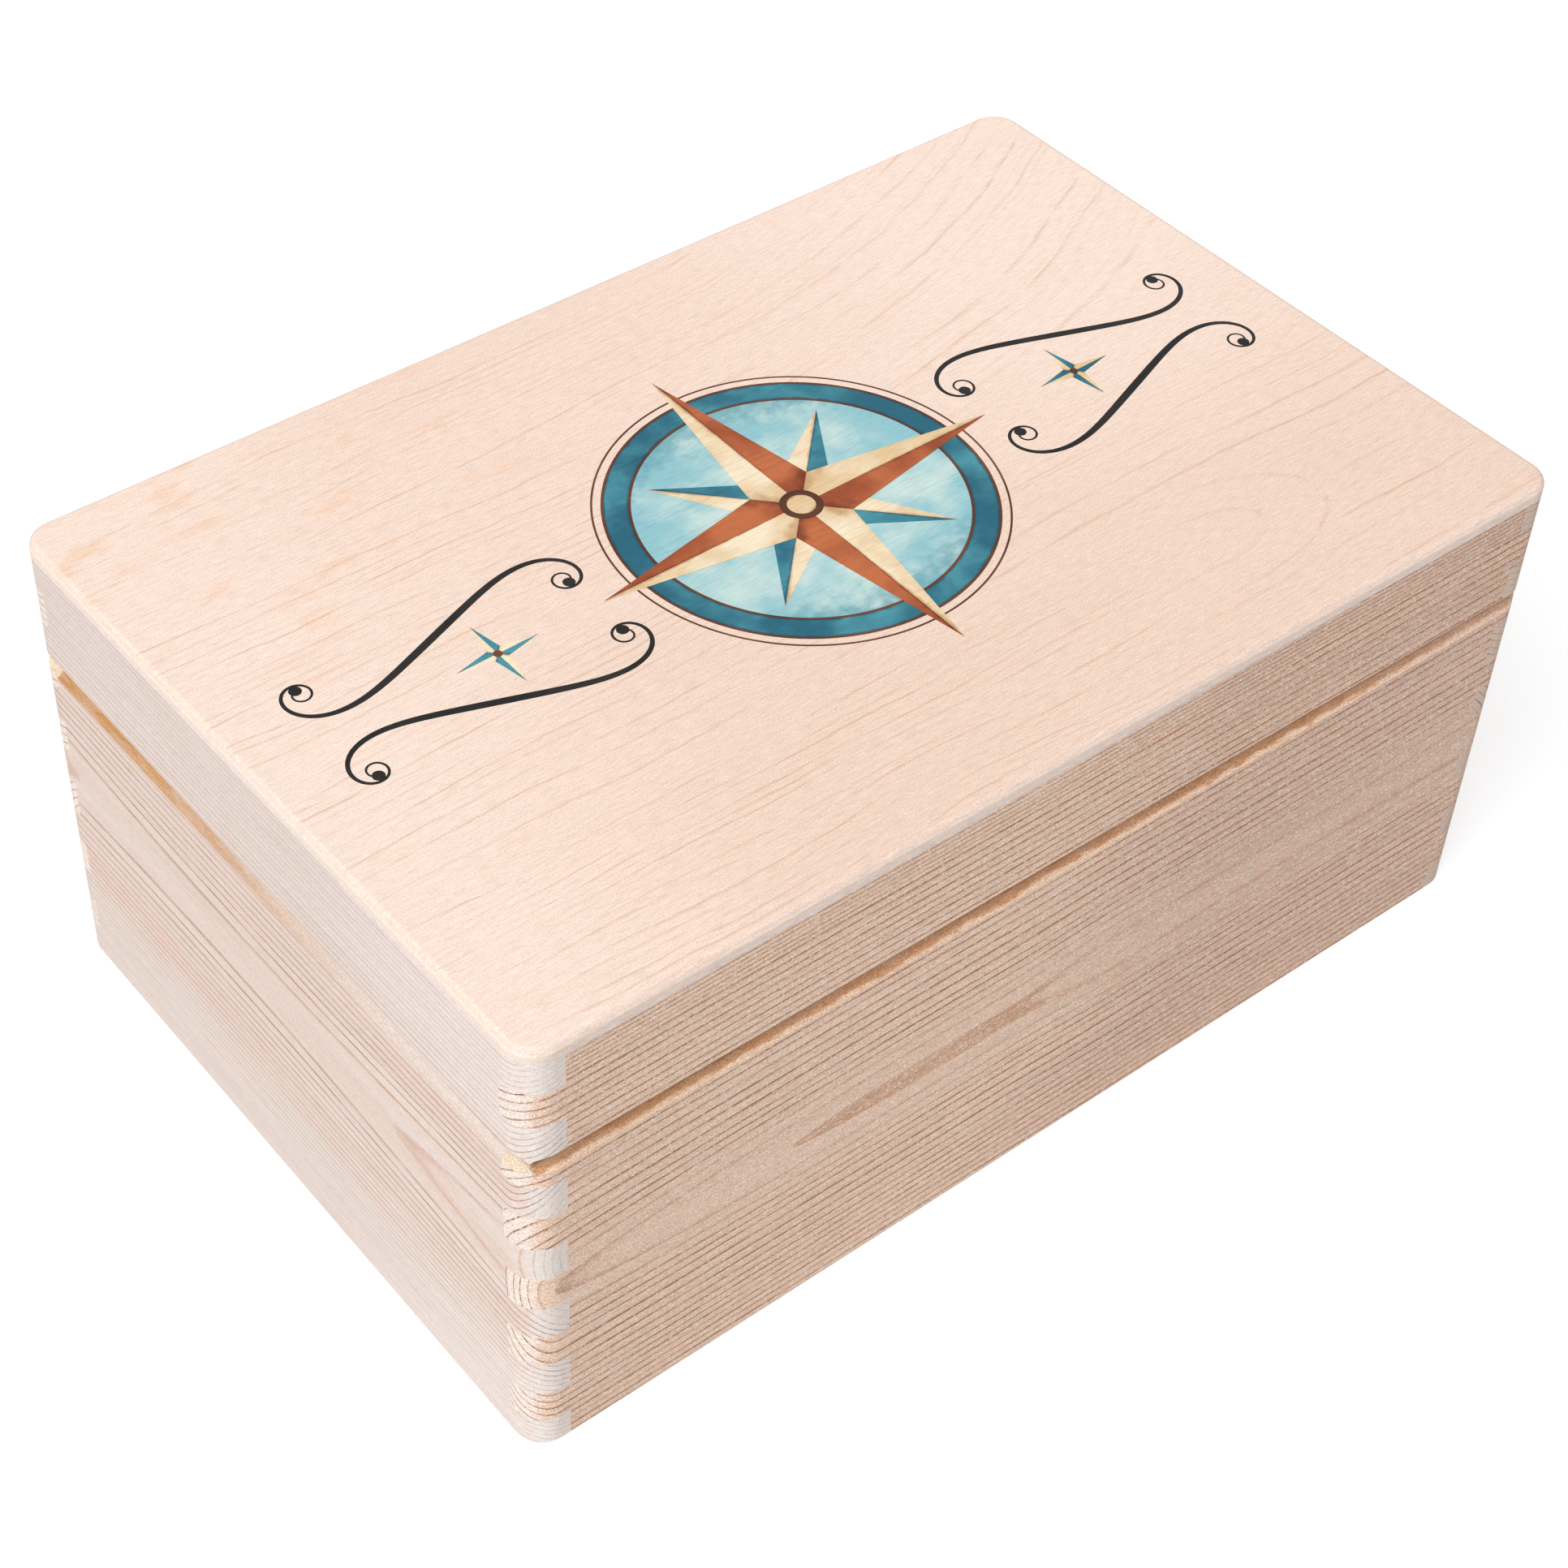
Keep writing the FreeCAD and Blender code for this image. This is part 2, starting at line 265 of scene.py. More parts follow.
def pine(name, along_y, seed, pith, growth, shares, tones, drift, fuzz_and_glint):
    """Sanded pine: pale early wood that turns into late wood and ends in a thin dark line each year, dotted
    and paler where the fibres end, warmer near the pith, and turning to another tone along the board between
    the limits of drift. The amount fuzz_and_glint is how much raised fibre the sander left, with its specks
    painted near white, partly as painted highlight. Growth counts the years, and shares gives the strength of
    core, late wood and line, at distances from the pith. Of the other shares, start is the part of a year at
    which late wood begins, streak its step above and below the pith, stain_and_shade the step along the groove
    of its colour, which holds painted shade and light, and fade how much of that colour is lost at the right
    end."""
    above_cut, end_turn, drift_wave = parting_height + 0.001, (0.45, 0.85), 60.0
    end_share, late_at_end, thread_share = 0.8, 0.3, 0.3
    weak_year, strong_year = 0.6, 1.1
    wood_rough, line_rough = 0.66, 0.5
    brightness = {"Fibre": 0.15 + 0.7 * fuzz_and_glint, "Grit": 1.7 * fuzz_and_glint, "Streak": 0.2}
    material, tree, shader = new_material(name)
    coords = node(tree, "TexCoord", {}).outputs
    place = in_millimetres(tree, coords["Object"])
    axes = node(tree, "SeparateXYZ", {0: place}).outputs
    along, through = (axes[1], axes[0]) if along_y else (axes[0], axes[1])
    in_lid = calc(tree, "GREATER_THAN", axes[2], above_cut)
    up = calc(tree, "MULTIPLY_ADD", in_lid, saw_kerf, axes[2])
    board = node(tree, "CombineXYZ", {0: along, 1: through, 2: up}).outputs[0]
    facing = node(tree, "SeparateXYZ", {0: coords["Normal"]}).outputs[1 if along_y else 0]
    end = ramp(tree, calc(tree, "ABSOLUTE", facing), *end_turn)

    sockets = {"Position": board, "Seed": seed, **pith}
    radius, above = node(tree, "Group", sockets, node_tree=pith_group).outputs
    sockets = {"Years": follow(tree, radius, growth), "Late Start": shares["start"], "Seed": seed}
    marks = node(tree, "Group", sockets, node_tree=mark_group).outputs
    fibre = node(tree, "Group", {"Position": board, "Seed": seed}, node_tree=fibre_group).outputs
    core, late, line = (follow(tree, radius, shares[key]) for key in ("core", "late", "line"))
    wave = calc(tree, "MULTIPLY_ADD", noise(tree, board, (90.0, 30.0, 30.0), 1.0), drift_wave, along)
    colour = mix(tree, ramp(tree, wave, *drift), tones["early"], tones["drift"])
    colour = glaze(tree, colour, tones["core"], core, between(tree, fibre["Cloud"], 0.5, 1.0))
    colour = glaze(tree, colour, tones["end"], end, end_share)
    whole = node(tree, "Mix", {0: end, 2: fibre["Break"], 3: fibre["Dot"]}).outputs[0]
    whole = between(tree, whole, 0.5, 1.0)
    late = product(tree, marks["Late"], late, ramp(tree, above, *shares["streak"]))
    colour = glaze(tree, colour, tones["late"], late, ramp(tree, end, 0.0, 1.0, 1.0, late_at_end), whole)
    line = product(tree, marks["Line"], line, between(tree, marks["Strength"], weak_year, strong_year), whole)
    colour = mix(tree, line, colour, mix(tree, end, tones["line"], tones["end_line"]))
    colour = glaze(tree, colour, tones["late"], fibre["Thread"], thread_share)
    # Painted highlight in part: specks of raised fibre are laid on near white, as the glint they catch.
    colour = glaze(tree, colour, tones["fuzz_and_glint"], fibre["Glinting_Speck"], fuzz_and_glint)

    inside = node(tree, "Group", {"Position": place}, node_tree=groove_group).outputs["Inside"]
    height = calc(tree, "SUBTRACT", axes[2], parting_height)
    colour = mix(tree, inside, colour, groove_stain_and_shade(tree, board, along, height, along_y, shares, tones))

    bright = 1.0
    for mark, share in brightness.items():
        bright = calc(tree, "MULTIPLY_ADD", fibre[mark], share, bright)
    tree.links.new(shade(tree, colour, bright), shader.inputs["Base Color"])
    tree.links.new(ramp(tree, line, 0.0, 1.0, wood_rough, line_rough), shader.inputs["Roughness"])
    shader.inputs["Specular IOR Level"].default_value = 0.1
    raise_marks(tree, shader, fibre["Fibre"], strength=0.3, depth=0.03)
    return material


def dress(material, *names):
    """Gives a material to pieces of the part."""
    for name in names:
        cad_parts[name].data.materials[0] = material


front_tones = {"early": tone(240, 213, 194), "drift": tone(215, 185, 171), "core": tone(239, 206, 181),
               # The speck tone below is near white, partly as painted glint on raised fibres.
               "late": tone(210, 156, 112), "line": tone(138, 80, 40), "fuzz_and_glint": tone(252, 240, 230),
               "end": tone(246, 233, 224), "end_line": tone(118, 72, 40),
               # The groove's lower tone is painted light, its upper tone painted shade, its middle partly
               # painted bounce light.
               "groove_plain": tone(222, 201, 178), "groove_lit_low": tone(234, 203, 175),
               "groove_middle": tone(202, 152, 114), "groove_shaded_high": tone(160, 108, 75)}
front_pith = {"Pith Depth": -120.38, "Pith Height": 55.4, "Lean": -0.003117, "Bow": -0.00004015,
              "Twist": 0.0000004259, "Climb": -0.0061, "Jog": 0.85, "Wander": 0.6, "Calm": 0.85}
front_growth = ((19.0, -1.2), (21.32, -0.5), (21.58, -0.1), (21.84, -0.06), (21.86, 0.0), (23.4, 1.0),
                (30.0, 5.0), (43.0, 10.0), (62.5, 19.0), (72.0, 23.0), (84.0, 32.0))
front_shares = {"core": ((21.0, 0.55), (40.0, 0.5)),
                "late": ((21.9, 0.62), (22.5, 0.2), (28.0, 1.0), (50.0, 1.0), (62.0, 1.5)),
                "line": ((21.0, 0.12), (22.5, 0.2), (27.0, 1.0)),
                "start": 0.52, "streak": (2.6, 4.6, 1.0, 0.55),
                "stain_and_shade": (146.5, 148.2, 1.0, 0.0), "fade": 0.45}
long_drift = (-20.0, 60.0)
front_pine = pine("front_pine", along_y=False, seed=3.0, pith=front_pith, growth=front_growth,
                  shares=front_shares, tones=front_tones, drift=long_drift, fuzz_and_glint=0.5)
dress(front_pine, "base_front_wall", "lid_front_rail")

# The back of the box: a pine board like the front one, with its heart side in, finger jointed and glued
# with the rest and sawn apart, and with mortises for the hinges along the saw cut.

back_pith = {"Pith Depth": 66.0, "Pith Height": 40.0, "Lean": -0.02, "Bow": 0.00012, "Climb": 0.03,
             "Wander": 1.0}
back_growth = ((20.0, 0.0), (34.0, 7.0), (60.0, 18.0), (100.0, 36.0))
back_shares = {**front_shares, "late": ((20.0, 0.4), (60.0, 0.6)), "streak": (80.0, 90.0, 1.0, 0.9)}
back_pine = pine("back_pine", along_y=False, seed=11.0, pith=back_pith, growth=back_growth,
                 shares=back_shares, tones=front_tones, drift=long_drift, fuzz_and_glint=0.4)
dress(back_pine, "base_back_wall", "lid_back_rail")

# The left and right sides: shorter and paler pine boards with their heart sides in, finger jointed to the
# long ones and sawn apart with them. On the left one a single year ring lies nearly flat along the middle
# of its height, and forks at the near end.

side_tones = {"early": tone(237, 226, 220), "drift": tone(228, 216, 209), "core": tone(230, 206, 194),
              # The speck tone below is near white, partly as painted glint on raised fibres.
              "late": tone(222, 176, 134), "line": tone(152, 106, 76), "fuzz_and_glint": tone(250, 243, 238),
              "end": tone(240, 232, 226), "end_line": tone(104, 76, 58),
              # The groove's tones darken upwards, as painted shade towards the saw cut.
              "groove_plain": tone(214, 199, 189), "groove_lit_low": tone(196, 150, 104),
              "groove_middle": tone(186, 138, 86), "groove_shaded_high": tone(176, 124, 74)}
side_shares = {"core": ((30.0, 0.9), (42.0, 1.0), (52.0, 0.1)),
               "late": ((28.0, 0.35), (30.2, 0.7), (31.5, 0.6), (50.0, 0.4)),
               "line": ((27.5, 0.3), (30.2, 0.5), (32.0, 1.0), (44.0, 0.8), (50.0, 0.5), (63.0, 0.35)),
               "start": 0.68, "streak": (80.0, 90.0, 1.0, 0.9),
               "stain_and_shade": (-60.0, 70.0, 0.0, 1.0), "fade": 0.0}
side_drift, side_fuzz_and_glint = (-95.0, -10.0), 0.2
left_pith = {"Pith Depth": -121.3, "Pith Height": 66.0, "Lean": 0.00657, "Bow": -0.0001776, "Climb": -0.004,
             "Wander": 0.4}
left_growth = ((15.0, -7.0), (28.0, 0.0), (30.1, 1.0), (36.2, 5.0), (57.0, 17.5), (75.0, 29.0))
left_pine = pine("left_pine", along_y=True, seed=5.0, pith=left_pith, growth=left_growth,
                 shares=side_shares, tones=side_tones, drift=side_drift, fuzz_and_glint=side_fuzz_and_glint)
right_tones = {**side_tones, "end": tone(218, 192, 174), "end_line": tone(64, 52, 46)}
right_pith = {"Pith Depth": 118.0, "Pith Height": 48.0, "Lean": 0.01, "Bow": 0.0001, "Climb": 0.02,
              "Wander": 0.6}
right_growth = ((20.0, 0.0), (36.0, 8.0), (60.0, 20.0), (100.0, 42.0))
right_pine = pine("right_pine", along_y=True, seed=8.0, pith=right_pith, growth=right_growth,
                  shares=side_shares, tones=right_tones, drift=side_drift, fuzz_and_glint=side_fuzz_and_glint)
dress(left_pine, "base_left_wall", "lid_left_rail")
dress(right_pine, "base_right_wall", "lid_right_rail")

# The lid's top: birch plywood, glued on the rails flush with their faces and rounded along its upper edge,
# so that its pale lower plies and the warmer ones above them show as two bands round the edge.

box_height, top_thickness, top_seed = 134.4, 4.0, 2.0
veneer_tones = {"pale": tone(243, 221, 206), "brown": tone(233, 207, 190), "line": tone(204, 158, 128),
                # The tone for the rounded edge is painted shade.
                "fleck": tone(238, 194, 160), "rounding_shade": tone(230, 208, 196)}
ply_tones = {"grey": tone(237, 220, 213), "white": tone(247, 234, 228), "warm": tone(246, 226, 210)}
fibre_limits, fibre_share = (-0.2, 0.2), 0.35


def thin_line(tree, count, start, peak):
    """A line before each whole count: it rises from start to peak, both parts of a count, and then falls."""
    phase = calc(tree, "FRACT", count)
    return calc(tree, "MULTIPLY", ramp(tree, phase, start, peak), ramp(tree, phase, peak, 1.0, 1.0, 0.0))


def veneer_figure():
    """Faint lines of a peeled veneer: level lines that run along the board, fan out and rise towards its right
    end, and round a tongue near the front right corner, with flecks behind on the left, short fibres and slow
    clouds. Position is in millimetres. A step has two limits, and the values there if they aren't 0 and 1."""
    fan_start, fan_length, fan_step = -25.0, 330.0, (-30.0, 80.0, 0.02, 0.45)
    slow_wave, quick_wave, tongue_wave = 12.0, 2.4, 0.4
    tongue_start, tongue_middle, tongue_stretch, tongue_spacing = 66.0, -66.0, 2.2, 8.5
    mouth_step, inside_step, inside_along = (20.0, 60.0, 1.0, 0.0), (17.2, 18.5, 1.0, 0.0), (30.0, 75.0)
    outside_start, outside_full = 17.0, 22.0
    fine_spacing, fine_start, fine_along = 2.3, 0.6, (-30.0, 90.0, 1.0, 0.3)
    coarse_spacing, coarse_start, coarse_along = 6.5, 0.8, (-30.0, 50.0)
    tongue_line, line_peak = (0.82, 0.95), 0.94
    break_step, fleck_step = (-0.18, 0.16, 0.05, 1.0), (0.06, 0.2)
    fleck_along, fleck_across = (-90.0, 0.0, 1.0, 0.15), (0.0, 70.0, 0.2, 1.0)
    outputs = ("Fine", "Coarse", "Tongue", "Fleck", "Fibre", "Cloud")
    tree, given, wanted = group("veneer_figure", {"Position": origin, "Seed": 0.0}, outputs)
    place, seed = given["Position"], seed_vector(tree, given["Seed"])
    along, across = node(tree, "SeparateXYZ", {0: place}).outputs[:2]
    run = calc(tree, "MAXIMUM", calc(tree, "SUBTRACT", along, fan_start), 0.0)
    run = calc(tree, "DIVIDE", calc(tree, "MULTIPLY", run, run), fan_length)
    lift = calc(tree, "MULTIPLY", run, ramp(tree, across, *fan_step))
    slow = calc(tree, "MULTIPLY", noise(tree, place, (110.0, 45.0, 45.0), 1.0, seed), slow_wave)
    quick = calc(tree, "MULTIPLY", noise(tree, place, (20.0, 7.0, 7.0), 3.0, seed), quick_wave)
    waver = calc(tree, "ADD", slow, quick)
    beside = calc(tree, "MAXIMUM", calc(tree, "SUBTRACT", along, tongue_start), 0.0)
    beside = calc(tree, "DIVIDE", beside, tongue_stretch)
    behind = calc(tree, "SUBTRACT", across, tongue_middle)
    tongue = calc(tree, "MULTIPLY_ADD", waver, tongue_wave, distance(tree, beside, behind))
    outside = ramp(tree, tongue, outside_start, outside_full, ramp(tree, along, *mouth_step), 1.0)
    level = calc(tree, "ADD", calc(tree, "SUBTRACT", across, lift), waver)
    whole = ramp(tree, noise(tree, place, (28.0, 4.0, 4.0), 3.0, seed), *break_step)
    for name, spacing, start, step in (("Fine", fine_spacing, fine_start, fine_along),
                                       ("Coarse", coarse_spacing, coarse_start, coarse_along)):
        count = calc(tree, "DIVIDE", level, spacing)
        strength = chance(tree, calc(tree, "FLOOR", count))
        line = product(tree, thin_line(tree, count, start, line_peak), strength, whole)
        tree.links.new(product(tree, line, ramp(tree, along, *step), outside), wanted[name])
    line = thin_line(tree, calc(tree, "DIVIDE", tongue, tongue_spacing), *tongue_line)
    inside = calc(tree, "MULTIPLY", ramp(tree, tongue, *inside_step), ramp(tree, along, *inside_along))
    tree.links.new(product(tree, line, whole, inside), wanted["Tongue"])
    fleck = ramp(tree, noise(tree, place, (17.0, 6.0, 6.0), 3.0, seed), *fleck_step)
    fleck = product(tree, fleck, ramp(tree, along, *fleck_along), ramp(tree, across, *fleck_across))
    tree.links.new(fleck, wanted["Fleck"])
    tree.links.new(noise(tree, place, (4.0, 0.6, 0.6), 2.0, seed), wanted["Fibre"])
    tree.links.new(noise(tree, place, (60.0, 16.0, 16.0), 2.0, seed), wanted["Cloud"])
    return tree


veneer_group = veneer_figure()


def plywood(name, seed, bottom, top):
    """Birch plywood between two heights in millimetres, with a veneer on each face. The plies show on its edge,
    pale and speckled low down and warmer above. The veneer is palest along its left edge and behind on the
    right, and a little browner towards the front. Where the veneer bends over the rounded edge it is painted
    darker, as shade that tones down the sun's highlight there."""
    pale_end, warm_start = bottom + 1.0, bottom + 1.5
    veneer_start, veneer_full = top - 1.2, top - 0.8
    front_edge, back_edge, right_step, left_step = -80.0, 45.0, (10.0, 100.0, 0.5, 0.0), (-145.0, -50.0)
    rounding_shade_step, flat_step, speckle_step = (0.75, 0.99, 0.8, 0.0), (0.9, 0.99), (-0.12, 0.2)
    cloud_share, fleck_share, grit_share = 0.5, 0.45, 0.3
    veneer_smooth, veneer_rough = 0.5, 0.65
    material, tree, shader = new_material(name)
    coords = node(tree, "TexCoord", {}).outputs
    place = in_millimetres(tree, coords["Object"])
    along, across, height = node(tree, "SeparateXYZ", {0: place}).outputs
    figure = node(tree, "Group", {"Position": place, "Seed": seed}, node_tree=veneer_group).outputs
    brown = ramp(tree, across, front_edge, back_edge, 1.0, ramp(tree, along, *right_step))
    brown = calc(tree, "MULTIPLY", brown, ramp(tree, along, *left_step))
    brown = calc(tree, "MULTIPLY_ADD", figure["Cloud"], cloud_share, brown)
    face = mix(tree, brown, veneer_tones["pale"], veneer_tones["brown"])
    for mark, share in (("Fine", 0.6), ("Coarse", 0.5), ("Tongue", 0.3)):
        face = glaze(tree, face, veneer_tones["line"], figure[mark], share)
    face = glaze(tree, face, veneer_tones["fleck"], figure["Fleck"], fleck_share)
    level = calc(tree, "ABSOLUTE", node(tree, "SeparateXYZ", {0: coords["Normal"]}).outputs[2])
    # Painted shade: the veneer darkens where it bends over the rounded edge, toning down the sun's highlight.
    face = mix(tree, ramp(tree, level, *rounding_shade_step), face, veneer_tones["rounding_shade"])
    speckle = ramp(tree, noise(tree, place, (2.0, 2.0, 0.5), 2.0), *speckle_step)
    edge = mix(tree, speckle, ply_tones["grey"], ply_tones["white"])
    edge = mix(tree, ramp(tree, height, pale_end, warm_start), edge, ply_tones["warm"])
    veneer = ramp(tree, height, veneer_start, veneer_full)
    colour = mix(tree, calc(tree, "MAXIMUM", ramp(tree, level, *flat_step), veneer), edge, face)
    bright = calc(tree, "MULTIPLY_ADD", figure["Fibre"], fibre_share, 1.0)
    bright = calc(tree, "MULTIPLY_ADD", noise(tree, place, (0.5, 0.4, 0.4), 0.0), grit_share, bright)
    tree.links.new(shade(tree, colour, bright), shader.inputs["Base Color"])
    rough = ramp(tree, figure["Fibre"], *fibre_limits, veneer_smooth, veneer_rough)
    tree.links.new(rough, shader.inputs["Roughness"])
    shader.inputs["Specular IOR Level"].default_value = 0.1
    return material


top_plywood = plywood("top_plywood_birch", top_seed, box_height - top_thickness, box_height)
dress(top_plywood, "lid_top_panel")

# The ornament on the lid: a compass star on a pale disc inside a ring, with a pair of scrolls and a small
# star on each side. Its inks are printed straight onto the sanded veneer, so thin that the grain still
# shows in them.

ink_step = 0.02
quarter, eighth = pi / 2, pi / 4


def ink(name, pale, deep, rim):
    """Printed ink: a cloudy wash between two tones, darker where it pools at a shape's rim, over the veneer's
    grain. The rim is where the first value of the UV map nears 1."""
    wash_step, rim_step = (-0.16, 0.16), (0.72, 1.02, 0.0, 0.75)
    ragged_by, grain_share = 0.5, 0.3
    ink_smooth, ink_rough = 0.4, 0.6
    material, tree, shader = new_material(name)
    coords = node(tree, "TexCoord", {}).outputs
    place = in_millimetres(tree, coords["Object"])
    figure = node(tree, "Group", {"Position": place, "Seed": top_seed}, node_tree=veneer_group).outputs
    wash = ramp(tree, noise(tree, place, (16.0, 16.0, 16.0), 4.0), *wash_step)
    colour = mix(tree, wash, pale, deep)
    outwards = node(tree, "SeparateXYZ", {0: coords["UV"]}).outputs[0]
    ragged = calc(tree, "MULTIPLY_ADD", noise(tree, place, (3.0, 3.0, 3.0), 3.0), ragged_by, outwards)
    colour = mix(tree, ramp(tree, ragged, *rim_step), colour, rim)
    colour = glaze(tree, colour, rim, figure["Fine"], grain_share)
    bright = calc(tree, "MULTIPLY_ADD", figure["Fibre"], fibre_share, 1.0)
    tree.links.new(shade(tree, colour, bright), shader.inputs["Base Color"])
    rough = ramp(tree, figure["Fibre"], *fibre_limits, ink_smooth, ink_rough)
    tree.links.new(rough, shader.inputs["Roughness"])
    shader.inputs["Specular IOR Level"].default_value = 0.2
    return material


def add_object(name, data):
    """A new object in the scene."""
    made = bpy.data.objects.new(name, data)
    bpy.context.scene.collection.objects.link(made)
    return made


def print_ink(name, patches, layer, material, closed=False):
    """A layer of ink from patches of x and y in millimetres, each a grid of rows by columns that turns
    anticlockwise, the columns joined into a loop where closed. Layers lie one step apart, and each is as thick
    as two steps."""
    count, rows, columns = patches.shape[:3]
    points = np.full((count * rows * columns, 3), box_height + ink_step * layer)
    points[:, :2] = patches.reshape(-1, 2)
    corners = np.arange(count * rows * columns).reshape(count, rows, columns)
    ahead = np.roll(corners, -1, axis=2)
    quads = np.stack([corners[:, :-1], ahead[:, :-1], ahead[:, 1:], corners[:, 1:]], axis=-1)
    quads = (quads if closed else quads[:, :, :-1]).reshape(-1, 4)
    mesh = bpy.data.meshes.new(name)
    mesh.from_pydata(points / mm_per_metre, [], quads)
    spread = np.broadcast_to(np.abs(np.linspace(-1, 1, rows))[None, :, None], corners.shape).reshape(-1)
    rims = np.stack([spread, np.zeros_like(spread)], axis=-1)[quads.reshape(-1)]
    mesh.uv_layers.new(name="rim").data.foreach_set("uv", rims.astype(np.float32).reshape(-1))
    mesh.materials.append(material)
    piece = add_object(name, mesh)
    body = piece.modifiers.new("ink", "SOLIDIFY")
    body.thickness = 2 * ink_step / mm_per_metre
    body.offset = -1.0
    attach(piece, "lid")


def band(inner, outer, rows=5, columns=180):
    """A ring: its radius goes from outer to inner over the rows, and its angle once round over the columns."""
    radius = np.linspace(outer, inner, rows)[:, None]
    angle = np.linspace(0, 2 * pi, columns, endpoint=False)[None, :]
    return np.stack([radius * np.cos(angle), radius * np.sin(angle)], axis=-1)[None]


def disc(middle, radius, steps):
    """A disc from a square grid of u and v: x is u times the root of 1 less half of v squared, and y likewise.
    Steps is the number of grid lines each way."""
    u, v = np.meshgrid(np.linspace(-1, 1, steps), np.linspace(-1, 1, steps))
    bent = np.stack([u * np.sqrt(1 - v * v / 2), v * np.sqrt(1 - u * u / 2)], axis=-1)
    return (np.asarray(middle) + radius * bent)[None]


def star_halves(side, turn, tip, shoulder, middle=(0, 0), start=0.04, rows=9, columns=24):
    """One half of each of four points: straight lines run from near the middle out to the line between tip and
    shoulder, which lies an eighth of a turn to the given side. Start is the part of each line left out."""
    out = np.linspace(start, 1, columns)[None, None, :, None]
    over = np.linspace(0, 1, rows)[None, :, None, None]
    angle = turn + np.arange(4)[:, None, None, None] * quarter
    ends = tip * np.concatenate([np.cos(angle), np.sin(angle)], axis=-1)
    beside = angle + side * eighth
    sides = shoulder * np.concatenate([np.cos(beside), np.sin(beside)], axis=-1)
    halves = out * ((1 - over) * ends + over * sides) + np.asarray(middle)
    return halves if side > 0 else halves[:, ::-1]


def scroll(across, up, rows=5, columns=600):
    """A scroll whose direction turns with the fourth power of the length from its middle, so both ends curl,
    with a stroke that thins towards the ends. Across and up mirror it."""
    middle, half_length, curl, dip = np.array([94.0, 13.0]), 66.0, 9.6, 0.35
    thin, thick = 0.25, 1.0
    way = np.linspace(-1, 1, columns)
    turned = curl * way ** 4 - dip
    step = half_length * (way[1] - way[0])
    line = np.stack([np.cumsum(np.cos(turned)), np.cumsum(np.sin(turned))], axis=-1) * step
    line += middle - line[columns // 2]
    half = thin + (thick - thin) * (1 - way ** 2) ** 2
    beside = np.stack([-np.sin(turned), np.cos(turned)], axis=-1)
    stroke = line[None] + np.linspace(-1, 1, rows)[:, None, None] * half[None, :, None] * beside[None]
    stroke = stroke * np.array([across, up])
    return stroke if across * up > 0 else stroke[::-1]


sea_ink = ink("pale_blue_ink", tone(196, 219, 214), tone(142, 192, 200), tone(96, 156, 168))
teal_ink = ink("teal_ink", tone(74, 146, 160), tone(34, 96, 116), tone(18, 64, 82))
rust_ink = ink("rust_ink", tone(190, 108, 66), tone(146, 70, 40), tone(98, 44, 26))
cream_ink = ink("cream_ink", tone(242, 226, 196), tone(222, 192, 148), tone(186, 142, 96))
brown_ink = ink("brown_ink", tone(112, 66, 42), tone(82, 46, 30), tone(60, 32, 22))
black_ink = ink("black_ink", tone(34, 31, 31), tone(18, 17, 18), tone(10, 10, 11))

centre, disc_radius, boss_radius, eye_radius = (0, 0), 40.2, 5.2, 3.4
ring_radii, line_radii = (40.0, 46.0), ((39.5, 40.2), (45.8, 46.5), (48.4, 48.9))
short_points = {"turn": eighth, "tip": 36.0, "shoulder": 9.5}
long_points = {"turn": 0.0, "tip": 57.0, "shoulder": 12.0}
ring_lines = np.concatenate([band(*radii) for radii in line_radii])
print_ink("print_disc", disc(centre, disc_radius, steps=48), layer=1, material=sea_ink)
print_ink("print_ring", band(*ring_radii), layer=2, material=teal_ink, closed=True)
print_ink("print_ring_lines", ring_lines, layer=3, material=brown_ink, closed=True)
print_ink("print_short_points_pale", star_halves(1, **short_points), layer=4, material=cream_ink)
print_ink("print_short_points_deep", star_halves(-1, **short_points), layer=4, material=teal_ink)
print_ink("print_long_points_pale", star_halves(1, **long_points), layer=5, material=cream_ink)
print_ink("print_long_points_deep", star_halves(-1, **long_points), layer=5, material=rust_ink)
print_ink("print_boss", disc(centre, boss_radius, steps=24), layer=6, material=brown_ink)
print_ink("print_boss_eye", disc(centre, eye_radius, steps=24), layer=7, material=cream_ink)

small_points = {"turn": 0.0, "tip": 11.0, "shoulder": 2.6}
small_centres, small_boss_radius, drop_radius = ((-86, 0), (86, 0)), 1.1, 1.5
small_pale = np.concatenate([star_halves(1, middle=middle, **small_points) for middle in small_centres])
small_deep = np.concatenate([star_halves(-1, middle=middle, **small_points) for middle in small_centres])
small_bosses = np.concatenate([disc(middle, small_boss_radius, steps=16) for middle in small_centres])
scrolls = np.stack([scroll(x, y) for x in (1, -1) for y in (1, -1)])
middle_row = scrolls.shape[1] // 2
scroll_ends = scrolls[:, middle_row, [0, -1]].reshape(-1, 2)
drops = np.concatenate([disc(end, drop_radius, steps=16) for end in scroll_ends])
print_ink("print_small_stars_pale", small_pale, layer=1, material=cream_ink)
print_ink("print_small_stars_deep", small_deep, layer=1, material=teal_ink)
print_ink("print_small_star_bosses", small_bosses, layer=2, material=brown_ink)
print_ink("print_scrolls", scrolls, layer=1, material=black_ink)
print_ink("print_scroll_drops", drops, layer=2, material=black_ink)

# The bottom panel: birch plywood too, sawn to size and held loose in a groove round the inside of the base
# walls, so that it can swell and shrink.

bottom_height, bottom_thickness, bottom_seed = 4.0, 4.0, 7.0
bottom_top = bottom_height + bottom_thickness
bottom_plywood = plywood("bottom_plywood_birch", bottom_seed, bottom_height, bottom_top)
dress(bottom_plywood, "bottom_panel")

# The two butt hinges: leaves and barrels rolled from brass sheet, a plain brass pin, and countersunk brass
# screws that hold each leaf in its mortise, all bright but brushed along the barrel.

bright_brass, dull_brass = tone(222, 186, 118), tone(196, 154, 88)


